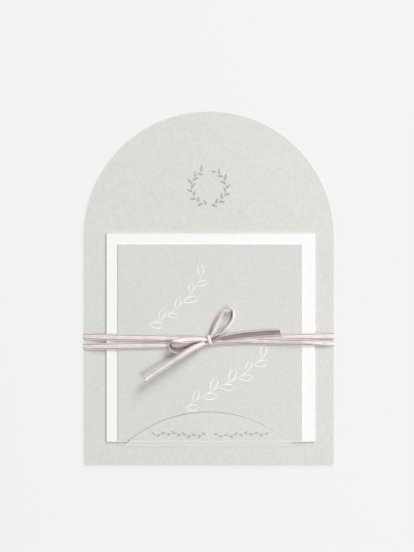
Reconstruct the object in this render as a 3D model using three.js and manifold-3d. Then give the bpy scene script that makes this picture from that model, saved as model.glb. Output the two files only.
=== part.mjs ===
// Tied wedding invitation, lying on its back.
// An arched backing card carries a half-moon flap cut from its own sheet. A thick white card and a
// thinner grey card are tucked under the flap, and a narrow satin ribbon goes twice round the whole
// and ends in a bow. Units are millimetres, X across, Y towards the arch, Z up. The origin is on the
// surface that the invitation lies on, under the middle of the backing.

import * as THREE from 'three'
import { mergeVertices } from 'three/addons/utils/BufferGeometryUtils.js'
import Module from 'manifold-3d'

const wasm = await Module()
wasm.setup()

// Backing card
const backingWidth = 120
const backingHeight = 170
const backingThickness = 0.4

// Half-moon flap in the backing
const flapRadius = 60
const flapHeight = 17
const foldAboveBottom = 9
const slitWidth = 0.2

// White card, measured from the fold of the flap
const whiteCardSize = 100
const whiteCardThickness = 0.6
const whiteCardAboveFold = 2.4
const whiteCardShift = 0.8

// Grey card, measured from the lower edge of the white card
const greyCardWidth = 88.6
const greyCardHeight = 93.8
const greyCardThickness = 0.35
const greyCardAboveWhite = 0.95
const greyCardShift = 0.65

// Ribbon and its knot
const ribbonWidth = 3
const ribbonThickness = 0.25
const ribbonClearance = 0.08
const edgeBend = 0.25
const tailSlant = 1.1
const knotX = 0.2
const knotY = -24.7
const knotLength = 5.2
const knotWidth = 2.1
const knotHeight = 1.9
const knotEdge = 0.3
const knotTurn = 12

// Smoothness of round shapes
const archSegments = 64
const flapRows = 18
const bendRows = 10
const stepsPerSpan = 4
const edgeBendSteps = 4
const knotEdgeSteps = 2
const knotSegments = 10

// Length of the flap's root inside the sheet, and the distance under which corners count as one
const rootOverlap = 1
const weldDistance = 1e-4

// Heights of the stacked layers
const backingBottom = ribbonThickness + ribbonClearance
const backingTop = backingBottom + backingThickness
const whiteTop = backingTop + whiteCardThickness
const greyTop = whiteTop + greyCardThickness

// Places that several pieces share
const halfWidth = backingWidth / 2
const foldY = -backingHeight / 2 + foldAboveBottom
const flapCentreY = foldY + flapHeight - flapRadius
const whiteBottomY = foldY + whiteCardAboveFold
const greyBottomY = whiteBottomY + greyCardAboveWhite
const leftCardEdge = greyCardShift - greyCardWidth / 2
const rightCardEdge = greyCardShift + greyCardWidth / 2

// Turns a closed geometry into a solid that can be joined and cut.
function solidOf(geometry) {
  const bare = geometry.clone()
  bare.deleteAttribute('normal')
  bare.deleteAttribute('uv')
  const merged = mergeVertices(bare, weldDistance)
  const vertProperties = new Float32Array(merged.attributes.position.array)
  const triVerts = new Uint32Array(merged.index.array)
  return new wasm.Manifold(new wasm.Mesh({ numProp: 3, vertProperties, triVerts }))
}

// Turns a solid back into a geometry for a mesh.
function geometryOf(solid) {
  const mesh = solid.getMesh()
  const geometry = new THREE.BufferGeometry()
  geometry.setAttribute('position', new THREE.BufferAttribute(new Float32Array(mesh.vertProperties), 3))
  geometry.setIndex(new THREE.BufferAttribute(new Uint32Array(mesh.triVerts), 1))
  geometry.computeVertexNormals()
  return geometry
}

// Joins rings of points, each ring with the same number, into a closed geometry with flat ends.
function geometryOfRings(rings) {
  const count = rings[0].length
  const positions = rings.flat().flatMap((point) => [point.x, point.y, point.z])
  const index = []
  for (let ring = 0; ring < rings.length - 1; ring++) {
    for (let i = 0; i < count; i++) {
      const a = ring * count + i
      const b = ring * count + ((i + 1) % count)
      index.push(a, b, b + count, a, b + count, a + count)
    }
  }
  const last = (rings.length - 1) * count
  for (let i = 1; i < count - 1; i++) {
    index.push(0, i + 1, i)
    index.push(last, last + i, last + i + 1)
  }
  const geometry = new THREE.BufferGeometry()
  geometry.setAttribute('position', new THREE.Float32BufferAttribute(positions, 3))
  geometry.setIndex(index)
  return geometry
}

// Flat sheet of the backing: straight sides, half-round top and the hole that the flap leaves.
function backingSheet() {
  const springY = backingHeight / 2 - halfWidth
  const outline = new THREE.Shape()
  outline.moveTo(-halfWidth, -backingHeight / 2)
  outline.lineTo(halfWidth, -backingHeight / 2)
  outline.lineTo(halfWidth, springY)
  outline.absarc(0, springY, halfWidth, 0, Math.PI, false)
  outline.lineTo(-halfWidth, -backingHeight / 2)
  const reach = Math.acos((foldY - flapCentreY) / flapRadius)
  const hole = new THREE.Path()
  hole.absarc(0, flapCentreY, flapRadius, Math.PI / 2 - reach, Math.PI / 2 + reach, false)
  hole.closePath()
  outline.holes.push(hole)
  const sheet = new THREE.ExtrudeGeometry(outline, {
    depth: backingThickness,
    bevelEnabled: false,
    curveSegments: archSegments,
  })
  sheet.translate(0, 0, backingBottom)
  return sheet
}

// Share of its rise that the flap has reached at a share of the bend: an even S shape, with its slope
// and its inverse.
const easeRise = (share) => share * share * (3 - 2 * share)
const easeSlope = (share) => 6 * share * (1 - share)
const easeRiseInverse = (rise) => 0.5 - Math.sin(Math.asin(1 - 2 * rise) / 3)

// The flap climbs from the sheet over the lower edges of both cards and then lies flat on the grey one.
function bentFlap() {
  const rise = greyTop - backingBottom
  const riseAtWhite = (whiteTop + ribbonClearance - backingBottom) / rise
  const roomAtWhite = whiteCardAboveFold / easeRiseInverse(riseAtWhite)
  const bendLength = Math.min(whiteCardAboveFold + greyCardAboveWhite, roomAtWhite)
  const radius = flapRadius - slitWidth
  const chord = foldY - flapCentreY
  const distances = [-rootOverlap]
  for (let i = 0; i < bendRows; i++) distances.push((bendLength * i) / bendRows)
  const startAngle = Math.acos((chord + bendLength) / radius)
  for (let i = 0; i < flapRows; i++) {
    distances.push(radius * Math.cos(startAngle * (1 - i / flapRows)) - chord)
  }
  const rings = distances.map((distance) => {
    const share = THREE.MathUtils.clamp(distance / bendLength, 0, 1)
    const slope = (easeSlope(share) * rise) / bendLength
    const half = Math.sqrt(radius ** 2 - (chord + Math.max(distance, 0)) ** 2)
    const y = foldY + distance
    const z = backingBottom + rise * easeRise(share)
    const length = Math.hypot(1, slope)
    const topY = y - (slope / length) * backingThickness
    const topZ = z + backingThickness / length
    return [
      new THREE.Vector3(-half, y, z),
      new THREE.Vector3(-half, topY, topZ),
      new THREE.Vector3(half, topY, topZ),
      new THREE.Vector3(half, y, z),
    ]
  })
  return geometryOfRings(rings)
}

// A flat rectangular card, given by its size, the middle of its lower edge and its underside.
function card(width, height, thickness, x, bottomY, bottomZ) {
  const geometry = new THREE.BoxGeometry(width, height, thickness)
  geometry.translate(x, bottomY + height / 2, bottomZ + thickness / 2)
  return geometry
}

// Height that the underside of a taut ribbon has over the front: level on the grey card, then straight
// down to the edge of the backing on either side.
function restHeight(x) {
  const edge = halfWidth + ribbonClearance + ribbonThickness / 2 - edgeBend
  const cardEdge = x < greyCardShift ? -leftCardEdge : rightCardEdge
  const share = THREE.MathUtils.clamp((Math.abs(x) - cardEdge) / (edge - cardEdge), 0, 1)
  return THREE.MathUtils.lerp(greyTop, backingTop, share)
}

// Clearance under the ribbon in a stack: layer 0 lies on the card, layer 1 on layer 0 and so on.
const layer = (count) => ribbonClearance + count * (ribbonThickness + ribbonClearance)

// One stretch of ribbon through stations {at, across, width}: a thin flat section carried along them.
function ribbonStretch(stations, slant = 0) {
  const rings = stations.map(({ at, across, width }, i) => {
    const before = stations[Math.max(i - 1, 0)].at
    const after = stations[Math.min(i + 1, stations.length - 1)].at
    const along = after.clone().sub(before).normalize()
    const side = across.clone().addScaledVector(along, -across.dot(along)).normalize()
    const up = along.clone().cross(side).multiplyScalar(ribbonThickness / 2)
    const cut = i === stations.length - 1 ? slant : 0
    const left = at.clone().addScaledVector(side, width / 2).addScaledVector(along, cut)
    const right = at.clone().addScaledVector(side, -width / 2).addScaledVector(along, -cut)
    return [left.clone().add(up), right.clone().add(up), right.clone().sub(up), left.clone().sub(up)]
  })
  return solidOf(geometryOfRings(rings))
}

// A stretch of the bow from points [x, y, lift, lean, share of the width]. X, Y and lift count in ribbon
// widths, X and Y from the knot. Lift is the height of the ribbon's lower edge over the card, and lean its
// turn about its own length: 0 lies face up, 90 stands on its right edge.
function bowStretch(points, slant) {
  const route = new THREE.CatmullRomCurve3(
    points.map(([x, y, lift, lean, share]) => {
      const angle = THREE.MathUtils.degToRad(lean)
      const reach = (ribbonWidth * share * Math.abs(Math.sin(angle))) / 2
      const depth = (ribbonThickness * Math.abs(Math.cos(angle))) / 2
      const z = greyTop + lift * ribbonWidth + reach + depth
      return new THREE.Vector3(knotX + x * ribbonWidth, knotY + y * ribbonWidth, z)
    }),
  )
  const spans = points.length - 1
  const stations = []
  for (let i = 0; i <= spans * stepsPerSpan; i++) {
    const place = i / stepsPerSpan
    const first = Math.min(Math.floor(place), spans - 1)
    const mix = place - first
    const lean = THREE.MathUtils.degToRad(THREE.MathUtils.lerp(points[first][3], points[first + 1][3], mix))
    const share = THREE.MathUtils.lerp(points[first][4], points[first + 1][4], mix)
    const along = route.getTangent(place / spans)
    const level = new THREE.Vector3(-along.y, along.x, 0).normalize()
    const upright = along.clone().cross(level)
    const across = level.multiplyScalar(Math.cos(lean)).addScaledVector(upright, Math.sin(lean))
    stations.push({ at: route.getPoint(place / spans), across, width: ribbonWidth * share })
  }
  return ribbonStretch(stations, slant)
}

// The four strands over the front, from the knot out to the edge of the grey card. Each point is
// [share of that way, ribbon widths above the knot, layer].
const leftUpper = [
  [0, -0.1, 1],
  [0.206, 0.033, 1],
  [0.367, 0.167, 1],
  [0.504, 0.267, 0],
  [0.648, 0.333, 0],
  [0.871, 0.367, 0],
  [1, 0.4, 0],
]
const leftLower = [
  [0, -0.533, 0],
  [0.206, -0.7, 0],
  [0.428, -0.867, 0],
  [0.648, -0.933, 0],
  [0.871, -0.967, 0],
  [1, -1, 0],
]
const rightUpper = [
  [0, -0.1, 1],
  [0.227, -0.1, 1],
  [0.44, 0.033, 1],
  [0.654, 0.233, 1],
  [0.845, 0.433, 1],
  [1, 0.567, 0],
]
const rightLower = [
  [0, -0.5, 0],
  [0.227, -0.267, 0],
  [0.44, -0.2, 0],
  [0.654, -0.333, 0],
  [0.845, -0.467, 0],
  [1, -0.5, 0],
]

// Where the upper and the lower turn go round the edges of the backing, left and right, in ribbon widths
// above the knot.
const upperTurn = [0.567, 0.633]
const lowerTurn = [-1.1, -0.567]

// Place up the card of something that lies so many ribbon widths above the knot.
const aboveKnot = (widths) => knotY + widths * ribbonWidth

// Stations of one strand over the front.
function strand(points, cardEdge) {
  return points.map(([share, widths, count]) => {
    const x = share * cardEdge
    const z = restHeight(x) + layer(count) + ribbonThickness / 2
    return new THREE.Vector3(x, aboveKnot(widths), z)
  })
}

// Stations of the ribbon round one side edge of the backing, from the front to the back.
function edgeTurn(sign, widths) {
  const outer = halfWidth + ribbonClearance + ribbonThickness / 2
  const frontZ = backingTop + ribbonClearance + ribbonThickness / 2
  const backZ = ribbonThickness / 2
  const points = []
  for (const [centreZ, from] of [
    [frontZ - edgeBend, Math.PI / 2],
    [backZ + edgeBend, 0],
  ]) {
    for (let i = 0; i <= edgeBendSteps; i++) {
      const angle = from - ((Math.PI / 2) * i) / edgeBendSteps
      const x = outer - edgeBend + edgeBend * Math.cos(angle)
      const z = centreZ + edgeBend * Math.sin(angle)
      points.push(new THREE.Vector3(sign * x, aboveKnot(widths), z))
    }
  }
  return points
}

// One turn of ribbon round the cards: out to the left, under the backing and back in from the right.
function turnOfRibbon(left, right, [leftWidths, rightWidths]) {
  const route = [
    ...strand(left, leftCardEdge),
    ...edgeTurn(-1, leftWidths),
    ...edgeTurn(1, rightWidths).reverse(),
    ...strand(right, rightCardEdge).reverse(),
  ]
  const across = new THREE.Vector3(0, -1, 0)
  return ribbonStretch(route.map((at) => ({ at, across, width: ribbonWidth })))
}

// The bow's loops and tails, as [x, y, lift, lean, share of the width].
const overOneStrand = layer(1) / ribbonWidth
const overStrands = layer(2) / ribbonWidth
const leftLoop = [
  [0, -0.033, overStrands, 20, 0.7],
  [-0.8, 0.033, 0.367, 25, 0.8],
  [-1.967, 0.067, 0.5, 30, 0.9],
  [-3.567, 0.033, 0.533, 33, 1],
  [-5, 0, 0.467, 40, 1],
  [-6.033, -0.233, 0.333, 60, 1],
  [-6.467, -0.867, 0.2, 85, 1],
  [-6.1, -1.467, overOneStrand, 100, 1],
  [-5.3, -1.733, overOneStrand, 115, 1],
  [-4.2, -1.7, overOneStrand, 142, 1],
  [-2.933, -1.233, 0.167, 158, 0.9],
  [-1.633, -0.633, overStrands, 168, 0.8],
  [0, -0.2, overStrands, 175, 0.7],
]
const upperLoop = [
  [0, 0, overStrands, -15, 0.7],
  [0.333, 0.733, 0.4, -22, 0.85],
  [0.833, 1.6, 0.533, -28, 0.95],
  [1.467, 2.867, 0.533, -32, 1],
  [2.2, 4.133, 0.4, -45, 1],
  [2.833, 4.633, 0.3, -58, 1],
  [3.467, 4.767, 0.233, -66, 1],
  [3.867, 4.4, 0.167, -62, 1],
  [3.967, 3.833, 0.1, -55, 1],
  [3.8, 3.2, 0.067, -50, 1],
  [3.4, 2.533, 0.067, -55, 1],
  [2.833, 1.733, 0.133, -75, 1],
  [1.867, 0.933, 0.3, -115, 0.95],
  [0.767, 0.3, 0.4, -155, 0.8],
  [0, 0.1, overStrands, -170, 0.7],
]
const lowerTail = [
  [-0.133, -0.2, overStrands, 0, 0.7],
  [-1.5, -0.8, 0.633, 0, 0.85],
  [-3.1, -1.633, 0.867, 0, 1],
  [-4.7, -2.7, 0.967, 0, 1],
  [-6.3, -3.733, 0.967, 0, 1],
  [-7.9, -4.767, 1.033, -4, 1],
  [-9.5, -5.833, 1.133, -6, 1],
  [-10.233, -6.4, 1.2, -6, 1],
]
const rightTail = [
  [0, -0.1, overStrands, 180, 0.7],
  [0.767, -0.033, overStrands, 180, 0.8],
  [2.533, 0.267, overStrands, 176, 0.9],
  [4.133, 0.533, overStrands, 174, 1],
  [5.733, 0.767, overStrands, 174, 1],
  [7.333, 0.9, overStrands, 175, 1],
  [8.933, 1.067, overStrands, 176, 1],
  [10.533, 1.133, overStrands, 178, 1],
  [11.4, 1.133, overStrands, 180, 1],
]

// The tight wrap of the knot: a rounded oval band that everything else runs into.
function knot() {
  const oval = new THREE.Shape()
  oval.absellipse(0, 0, knotLength / 2 - knotEdge, knotHeight / 2 - knotEdge, 0, 2 * Math.PI, false)
  const band = new THREE.ExtrudeGeometry(oval, {
    depth: knotWidth - 2 * knotEdge,
    bevelThickness: knotEdge,
    bevelSize: knotEdge,
    bevelSegments: knotEdgeSteps,
    curveSegments: knotSegments,
  })
  band.translate(0, 0, -knotWidth / 2 + knotEdge)
  band.rotateY(Math.PI / 2)
  band.rotateX(Math.PI / 2)
  band.rotateZ(THREE.MathUtils.degToRad(knotTurn))
  band.translate(knotX, knotY, greyTop + ribbonClearance + knotHeight / 2)
  return solidOf(band)
}

function tiedRibbon() {
  return turnOfRibbon(leftUpper, rightUpper, upperTurn)
    .add(turnOfRibbon(leftLower, rightLower, lowerTurn))
    .add(knot())
    .add(bowStretch(leftLoop))
    .add(bowStretch(upperLoop))
    .add(bowStretch(lowerTail, tailSlant))
    .add(bowStretch(rightTail, tailSlant))
}

const greyPaper = new THREE.MeshStandardMaterial({ color: 0xdcddd8, roughness: 0.9, metalness: 0 })
const paleGreyPaper = new THREE.MeshStandardMaterial({ color: 0xdbdcd7, roughness: 0.9, metalness: 0 })
const whitePaper = new THREE.MeshStandardMaterial({ color: 0xf8f8f6, roughness: 0.85, metalness: 0 })
const pinkSatin = new THREE.MeshStandardMaterial({ color: 0xd7c8ca, roughness: 0.4, metalness: 0 })

const group = new THREE.Group()

function addPiece(name, geometry, material) {
  const mesh = new THREE.Mesh(geometry, material)
  mesh.name = name
  group.add(mesh)
}

addPiece('arch_backing', geometryOf(solidOf(backingSheet()).add(solidOf(bentFlap()))), greyPaper)
addPiece(
  'white_card',
  card(whiteCardSize, whiteCardSize, whiteCardThickness, whiteCardShift, whiteBottomY, backingTop),
  whitePaper,
)
addPiece(
  'grey_card',
  card(greyCardWidth, greyCardHeight, greyCardThickness, greyCardShift, greyBottomY, whiteTop),
  paleGreyPaper,
)
addPiece('ribbon', geometryOf(tiedRibbon()), pinkSatin)

export default group
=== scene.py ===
# %% [markdown]
# # A tied wedding invitation
#
# An arched card lies flat, with a white and a grey square card tucked under its half-moon flap. A narrow
# satin ribbon goes twice round everything and ends in a small bow. The cards come from the CAD frame and
# keep their shape. This lesson gives them paper, ties the ribbon again in fine detail, and prints small
# line drawings of leaves on the cards.

# %% The frame
from math import cos, pi, radians, sin, tan

import bmesh
import bpy
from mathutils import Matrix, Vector


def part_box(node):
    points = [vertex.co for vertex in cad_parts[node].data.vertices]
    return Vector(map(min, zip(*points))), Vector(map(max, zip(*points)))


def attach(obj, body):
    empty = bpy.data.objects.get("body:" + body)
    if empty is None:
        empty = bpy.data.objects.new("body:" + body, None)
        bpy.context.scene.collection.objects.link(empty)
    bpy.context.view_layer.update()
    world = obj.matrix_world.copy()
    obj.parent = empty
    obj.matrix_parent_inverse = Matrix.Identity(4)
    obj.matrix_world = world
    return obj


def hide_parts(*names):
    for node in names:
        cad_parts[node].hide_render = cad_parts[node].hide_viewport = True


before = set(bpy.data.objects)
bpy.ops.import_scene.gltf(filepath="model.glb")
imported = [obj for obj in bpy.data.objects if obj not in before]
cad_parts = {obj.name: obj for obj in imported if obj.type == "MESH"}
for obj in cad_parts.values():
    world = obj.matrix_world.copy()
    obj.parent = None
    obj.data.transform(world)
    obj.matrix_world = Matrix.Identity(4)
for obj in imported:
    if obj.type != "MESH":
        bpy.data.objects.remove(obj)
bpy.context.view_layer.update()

MM = 0.001

# %% [markdown]
# ## Measures
#
# A piece that is made again here has to lie where the CAD solid lay, so the few sizes that both scripts
# share are written down once. The heights of the stacked cards are read from the frame itself: each card
# rests on the one below it, and everything printed rests on a card.

# %% Measures shared with the CAD model
RIBBON_WIDTH = 3 * MM
RIBBON_THICKNESS = 0.25 * MM
RIBBON_CLEARANCE = 0.08 * MM
EDGE_BEND = 0.25 * MM
TAIL_SLANT = 1.1 * MM
KNOT = Vector((0.2 * MM, -24.7 * MM, 0))
KNOT_LENGTH = 5.2 * MM
KNOT_WIDTH = 2.1 * MM
KNOT_HEIGHT = 1.9 * MM
KNOT_TURN = radians(12)
FLAP_FOLD_Y = -76 * MM
FLAP_CENTRE_Y = -119 * MM
FLAP_RADIUS = 59.8 * MM

HALF_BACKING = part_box("arch_backing")[1].x
LEFT_CARD_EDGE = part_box("grey_card")[0].x
RIGHT_CARD_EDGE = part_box("grey_card")[1].x
BACKING_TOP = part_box("white_card")[0].z
GREY_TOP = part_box("grey_card")[1].z
FLAP_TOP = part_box("arch_backing")[1].z
print("card tops in mm:", [round(v / MM, 2) for v in (BACKING_TOP, GREY_TOP, FLAP_TOP)])

# %% [markdown]
# ## Camera
#
# The invitation is seen from straight above, and its sides look parallel. An orthographic camera would
# give the same picture, but a perspective camera with a long lens looks more like a real one and behaves
# better when the view moves round the object. The distance follows from the lens: the long side of the
# picture has to cover a known length of the card's plane.

# %% Camera
VIEW_HEIGHT = 265.28 * MM
VIEW_CENTRE = Vector((-0.889 * MM, 6.007 * MM, 0))
LENS = 200
SENSOR = 36

camera_data = bpy.data.cameras.new("camera")
camera_data.lens = LENS
camera_data.sensor_width = SENSOR
camera = bpy.data.objects.new("camera", camera_data)
camera.location = VIEW_CENTRE + Vector((0, 0, GREY_TOP + VIEW_HEIGHT * LENS / SENSOR))
bpy.context.collection.objects.link(camera)
bpy.context.scene.camera = camera
bpy.context.scene.view_settings.view_transform = "Standard"
print("camera stands", round(camera.location.z, 3), "m above the table")

# %% [markdown]
# ## Node helpers
#
# Every material and every Geometry Nodes tree below is a list of nodes and wires. Small helpers keep each
# of them readable. One adds a node, sets its options and fills its inputs in a single call, and another
# makes a group with named inputs and outputs. The rest stand for nodes that come back again and again.


# %% Node helpers
def add(tree, kind, inputs=None, **options):
    """Adds a node. An input is given a plain value, or an output socket that is wired to it."""
    node = tree.nodes.new(kind)
    for name, value in options.items():
        setattr(node, name, value)
    for name, value in (inputs or {}).items():
        if isinstance(value, bpy.types.NodeSocket):
            tree.links.new(value, node.inputs[name])
        else:
            node.inputs[name].default_value = value
    return node


def math(tree, operation, *values):
    """Adds a Math node and returns its output."""
    return add(tree, "ShaderNodeMath", dict(enumerate(values)), operation=operation).outputs[0]


def ramp(tree, value, low, high, start=0.0, end=1.0):
    """Maps the range from low to high onto start to end, holds it beyond both, and returns the output."""
    return add(tree, "ShaderNodeMapRange", {"Value": value, "From Min": low, "From Max": high,
                                            "To Min": start, "To Max": end}).outputs[0]


def blend(tree, factor, first, second):
    """Mixes two colours and returns the output."""
    return add(tree, "ShaderNodeMix", {"Factor": factor, "A": first, "B": second},
               data_type="RGBA").outputs["Result"]


def new_group(name, kind, inputs, outputs):
    """Makes a node group from (name, socket type, default) inputs and (name, socket type) outputs."""
    tree = bpy.data.node_groups.new(name, kind)
    for label, socket_type, default in inputs:
        socket = tree.interface.new_socket(name=label, in_out="INPUT", socket_type=socket_type)
        if default is not None:
            socket.default_value = default
    for label, socket_type in outputs:
        tree.interface.new_socket(name=label, in_out="OUTPUT", socket_type=socket_type)
    return tree, add(tree, "NodeGroupInput"), add(tree, "NodeGroupOutput")


def end_growth(tree, geometry, source, result, smooth_faces=True):
    """Ends a Geometry Nodes tree: its instances become plain geometry, which gets the material."""
    geometry = add(tree, "GeometryNodeRealizeInstances", {0: geometry}).outputs[0]
    if smooth_faces:
        geometry = add(tree, "GeometryNodeSetShadeSmooth", {0: geometry}).outputs[0]
    finished = add(tree, "GeometryNodeSetMaterial", {0: geometry, "Material": source.outputs["Material"]})
    tree.links.new(finished.outputs[0], result.inputs["Geometry"])
    print(tree.name, "has", len(tree.nodes), "nodes")


def placed(name, data):
    """Makes an object and puts it into the scene."""
    made = bpy.data.objects.new(name, data)
    bpy.context.collection.objects.link(made)
    return made


def new_material(name, **settings):
    """Makes a material whose Principled BSDF has these plain settings."""
    material = bpy.data.materials.new(name)
    material.use_nodes = True
    shader = material.node_tree.nodes["Principled BSDF"]
    for label, value in settings.items():
        shader.inputs[label.replace("_", " ")].default_value = value
    return material, material.node_tree, shader


def linear(red, green, blue):
    """Turns a colour as a paint program shows it, from 0 to 255, into the linear values of a shader."""
    steps = [v / 255 for v in (red, green, blue)]
    return [v / 12.92 if v <= 0.04045 else ((v + 0.055) / 1.055) ** 2.4 for v in steps] + [1]


# %% [markdown]
# ## Table and light
#
# The table is a plain pale sheet. A soft lamp at the lower right throws the bow's shadow up and to the
# left. A wider one, low at the upper right, draws the thin dark lines along the left and bottom edges of
# the cards. Two suns would be simpler, but lamps that stand near also leave the far side of the cards a
# little darker, as in a real studio. The rest comes evenly from the sky. The camera sees the table partly
# as a plain glow, so its tone stays even up to the edge of the picture.

# %% Table
TABLE_SIZE = 3.0
TABLE_COLOUR = linear(243, 243, 243)
TABLE_GLOW = 0.8

table_mesh = bpy.data.meshes.new("table")
half = TABLE_SIZE / 2
table_corners = [(-half, -half, 0), (half, -half, 0), (half, half, 0), (-half, half, 0)]
table_mesh.from_pydata(table_corners, [], [(0, 1, 2, 3)])
table = placed("table", table_mesh)
table_material, tree, shader = new_material("table_sheet", Base_Color=TABLE_COLOUR, Roughness=0.9)
shader.inputs["Specular IOR Level"].default_value = 0.0
table_glow = add(tree, "ShaderNodeEmission", {"Color": TABLE_COLOUR, "Strength": 1.0})
seen = add(tree, "ShaderNodeLightPath").outputs["Is Camera Ray"]
share = math(tree, "MULTIPLY", seen, TABLE_GLOW)
mixed = add(tree, "ShaderNodeMixShader", {0: share, 1: shader.outputs[0], 2: table_glow.outputs[0]})
tree.links.new(mixed.outputs[0], tree.nodes["Material Output"].inputs["Surface"])
table_mesh.materials.append(table_material)
print("table is", TABLE_SIZE, "m wide")

# %% Lamps and sky
# Turn, height and softness are in degrees, and the distance is in metres.
SKY_SHARE = 0.32
LAMPS = {
    "lamp_lower_right": {"turn": -42, "height": 50, "share": 0.3, "distance": 1.4, "softness": 26},
    "lamp_upper_right": {"turn": 55, "height": 27, "share": 0.41, "distance": 1.9, "softness": 30},
}

world = bpy.data.worlds.new("sky")
world.use_nodes = True
world.node_tree.nodes["Background"].inputs["Color"].default_value = (1, 1, 1, 1)
world.node_tree.nodes["Background"].inputs["Strength"].default_value = SKY_SHARE
bpy.context.scene.world = world

for name, lamp in LAMPS.items():
    turn, height = radians(lamp["turn"]), radians(lamp["height"])
    towards = Vector((cos(turn) * cos(height), sin(turn) * cos(height), sin(height)))
    disc = bpy.data.lights.new(name, "AREA")
    disc.shape = "DISK"
    disc.size = 2 * lamp["distance"] * tan(radians(lamp["softness"]) / 2)
    disc.energy = lamp["share"] * pi ** 2 * lamp["distance"] ** 2 / towards.z
    stand = placed(name, disc)
    stand.location = towards * lamp["distance"]
    stand.rotation_euler = towards.to_track_quat("Z", "Y").to_euler()
    print(name, "is", round(disc.size, 2), "m wide and gives", round(lamp["share"], 2), "of the light")

# %% [markdown]
# ## Paper
#
# The grey cards are uncoated paper. Close up it has a soft mottle, because the pulp doesn't dry evenly,
# and short fibres that catch the light. Its colour could be painted on as a picture, but noise gives the
# same look at any distance and on any edge. One shader group makes the mottle and the relief, and each
# paper uses it with its own sizes. A second group finds the cut edges, where the knife leaves the layers
# of the sheet open, and the slope of the flap, which is painted paler there to lift the shade that falls
# on it. The flap's arc also gets a thin line of painted shade, which sets it off from the grey card under
# it.

# %% Shader group for uncoated paper
FIBRE_WANDER = 1.5 * MM
FIBRE_LINE = 0.12
FIBRE_RELIEF = 0.35

paper_grain, source, result = new_group(
    "paper_grain",
    "ShaderNodeTree",
    [
        ("Mottle Size", "NodeSocketFloat", 1.6 * MM),
        ("Fibre Length", "NodeSocketFloat", 1.2 * MM),
        ("Cloud Size", "NodeSocketFloat", 60 * MM),
    ],
    [("Mottle", "NodeSocketFloat"), ("Cloud", "NodeSocketFloat"), ("Height", "NodeSocketFloat")],
)
place = add(paper_grain, "ShaderNodeTexCoord").outputs["Object"]
mottle_scale = math(paper_grain, "DIVIDE", 1.0, source.outputs["Mottle Size"])
mottle = add(paper_grain, "ShaderNodeTexNoise", {"Vector": place, "Scale": mottle_scale, "Detail": 3.0,
                                                 "Roughness": 0.62})
cloud_scale = math(paper_grain, "DIVIDE", 1.0, source.outputs["Cloud Size"])
cloud = add(paper_grain, "ShaderNodeTexNoise", {"Vector": place, "Scale": cloud_scale, "Detail": 1.0})
fibre_scale = math(paper_grain, "DIVIDE", 1.0, source.outputs["Fibre Length"])
bent = add(paper_grain, "ShaderNodeTexNoise", {"Vector": place, "Scale": fibre_scale, "Detail": 1.0})
wander = add(paper_grain, "ShaderNodeVectorMath", {0: bent.outputs["Color"], "Scale": FIBRE_WANDER},
             operation="SCALE")
bent_place = add(paper_grain, "ShaderNodeVectorMath", {0: place, 1: wander.outputs[0]})
fibres = add(paper_grain, "ShaderNodeTexVoronoi", {"Vector": bent_place.outputs[0], "Scale": fibre_scale},
             feature="DISTANCE_TO_EDGE")
fibre_line = ramp(paper_grain, fibres.outputs["Distance"], 0.0, FIBRE_LINE, 1.0, 0.0)
height_mix = math(paper_grain, "MULTIPLY_ADD", fibre_line, FIBRE_RELIEF, mottle.outputs["Fac"])
paper_grain.links.new(mottle.outputs["Fac"], result.inputs["Mottle"])
paper_grain.links.new(cloud.outputs["Fac"], result.inputs["Cloud"])
paper_grain.links.new(height_mix, result.inputs["Height"])
print(paper_grain.name, "has", len(paper_grain.nodes), "nodes")

# %% Shader group for a cut edge
LAYER_STRETCH = 0.06
# How upright a cut edge stands, and how far the flap's slope leans where it is painted paler to lift its
# shade, both as parts of the surface's normal.
EDGE_FULL, EDGE_ENDS = 0.15, 0.35
SLOPE_LIGHT_FROM, SLOPE_LIGHT_FULL = -0.09, -0.27

cut_edge, source, result = new_group(
    "cut_edge", "ShaderNodeTree", [("Layer Size", "NodeSocketFloat", 0.08 * MM)],
    [("Edge", "NodeSocketFloat"), ("Layers", "NodeSocketFloat"), ("Slope Light", "NodeSocketFloat")],
)
facing = add(cut_edge, "ShaderNodeTexCoord").outputs["Normal"]
upright = add(cut_edge, "ShaderNodeSeparateXYZ", {0: facing})
flatness = math(cut_edge, "ABSOLUTE", upright.outputs["Z"])
edge_mask = ramp(cut_edge, flatness, EDGE_FULL, EDGE_ENDS, 1.0, 0.0)
not_edge = math(cut_edge, "SUBTRACT", 1.0, edge_mask)
# Painted light: the flap's slope, which leans away from the upper lamp, is marked to be painted paler.
slope_mask = ramp(cut_edge, upright.outputs["Y"], SLOPE_LIGHT_FROM, SLOPE_LIGHT_FULL)
slope_light = math(cut_edge, "MULTIPLY", slope_mask, not_edge)
sheet_place = add(cut_edge, "ShaderNodeTexCoord").outputs["Object"]
squeeze = add(cut_edge, "ShaderNodeMapping",
              {"Vector": sheet_place, "Scale": (LAYER_STRETCH, LAYER_STRETCH, 1.0)})
layer_scale = math(cut_edge, "DIVIDE", 1.0, source.outputs["Layer Size"])
layers = add(cut_edge, "ShaderNodeTexNoise", {"Vector": squeeze.outputs[0], "Scale": layer_scale,
                                              "Detail": 2.0})
cut_edge.links.new(edge_mask, result.inputs["Edge"])
cut_edge.links.new(layers.outputs["Fac"], result.inputs["Layers"])
cut_edge.links.new(slope_light, result.inputs["Slope Light"])
print(cut_edge.name, "has", len(cut_edge.nodes), "nodes")


# %% Paper materials
NOISE_LOW, NOISE_HIGH = 0.3, 0.7
CLOUD_SHARE = 0.5
PAPER_RELIEF = 0.05 * MM
PAPER_SPECULAR = 0.25


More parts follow.
